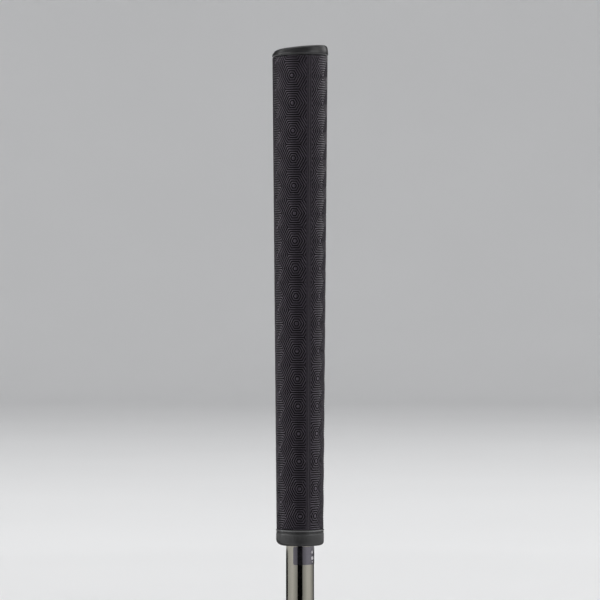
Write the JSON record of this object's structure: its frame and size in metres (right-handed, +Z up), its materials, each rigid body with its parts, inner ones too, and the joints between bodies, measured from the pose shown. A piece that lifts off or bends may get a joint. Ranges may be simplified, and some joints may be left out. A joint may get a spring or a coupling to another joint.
{
  "type": "golf putter grip",
  "caption": "Oversize round tapered putter grip with a hexagon-embossed wrapped skin, seam strip, sloping butt cap and mouth ring, fitted on a short length of tubular steel shaft.",
  "frame": {"origin": "centre of the shaft's sawn lower end, the lowest point of the part", "axes": "+Z up the shaft towards the butt cap; the skin's seam faces -Y; the cap's top rises towards +X, turned 20 degrees towards -Y"},
  "size_m": [0.0302, 0.0302, 0.3074],
  "materials": {
    "cap_rubber": "smooth moulded rubber, satin",
    "skin_polyurethane": "embossed tacky polyurethane, low sheen",
    "seam_polyurethane": "smooth raised bead, satin",
    "felt": "non-woven felt",
    "foam_rubber": "fine closed-cell foam",
    "ring_rubber": "smooth moulded rubber, satin",
    "tape_paper": "creped paper tape",
    "chrome_steel": "polished chrome plate on steel tube",
    "label_vinyl": "satin printed film"
  },
  "bodies": {
    "root": {"butt_cap": "cap_rubber", "grip_skin": "skin_polyurethane", "seam_strip": "seam_polyurethane", "skin_backing": "felt", "underlisting": "foam_rubber", "mouth_ring": "ring_rubber", "grip_tape": "tape_paper", "shaft": "chrome_steel", "shaft_label": "label_vinyl"}
  },
  "joints": []
}
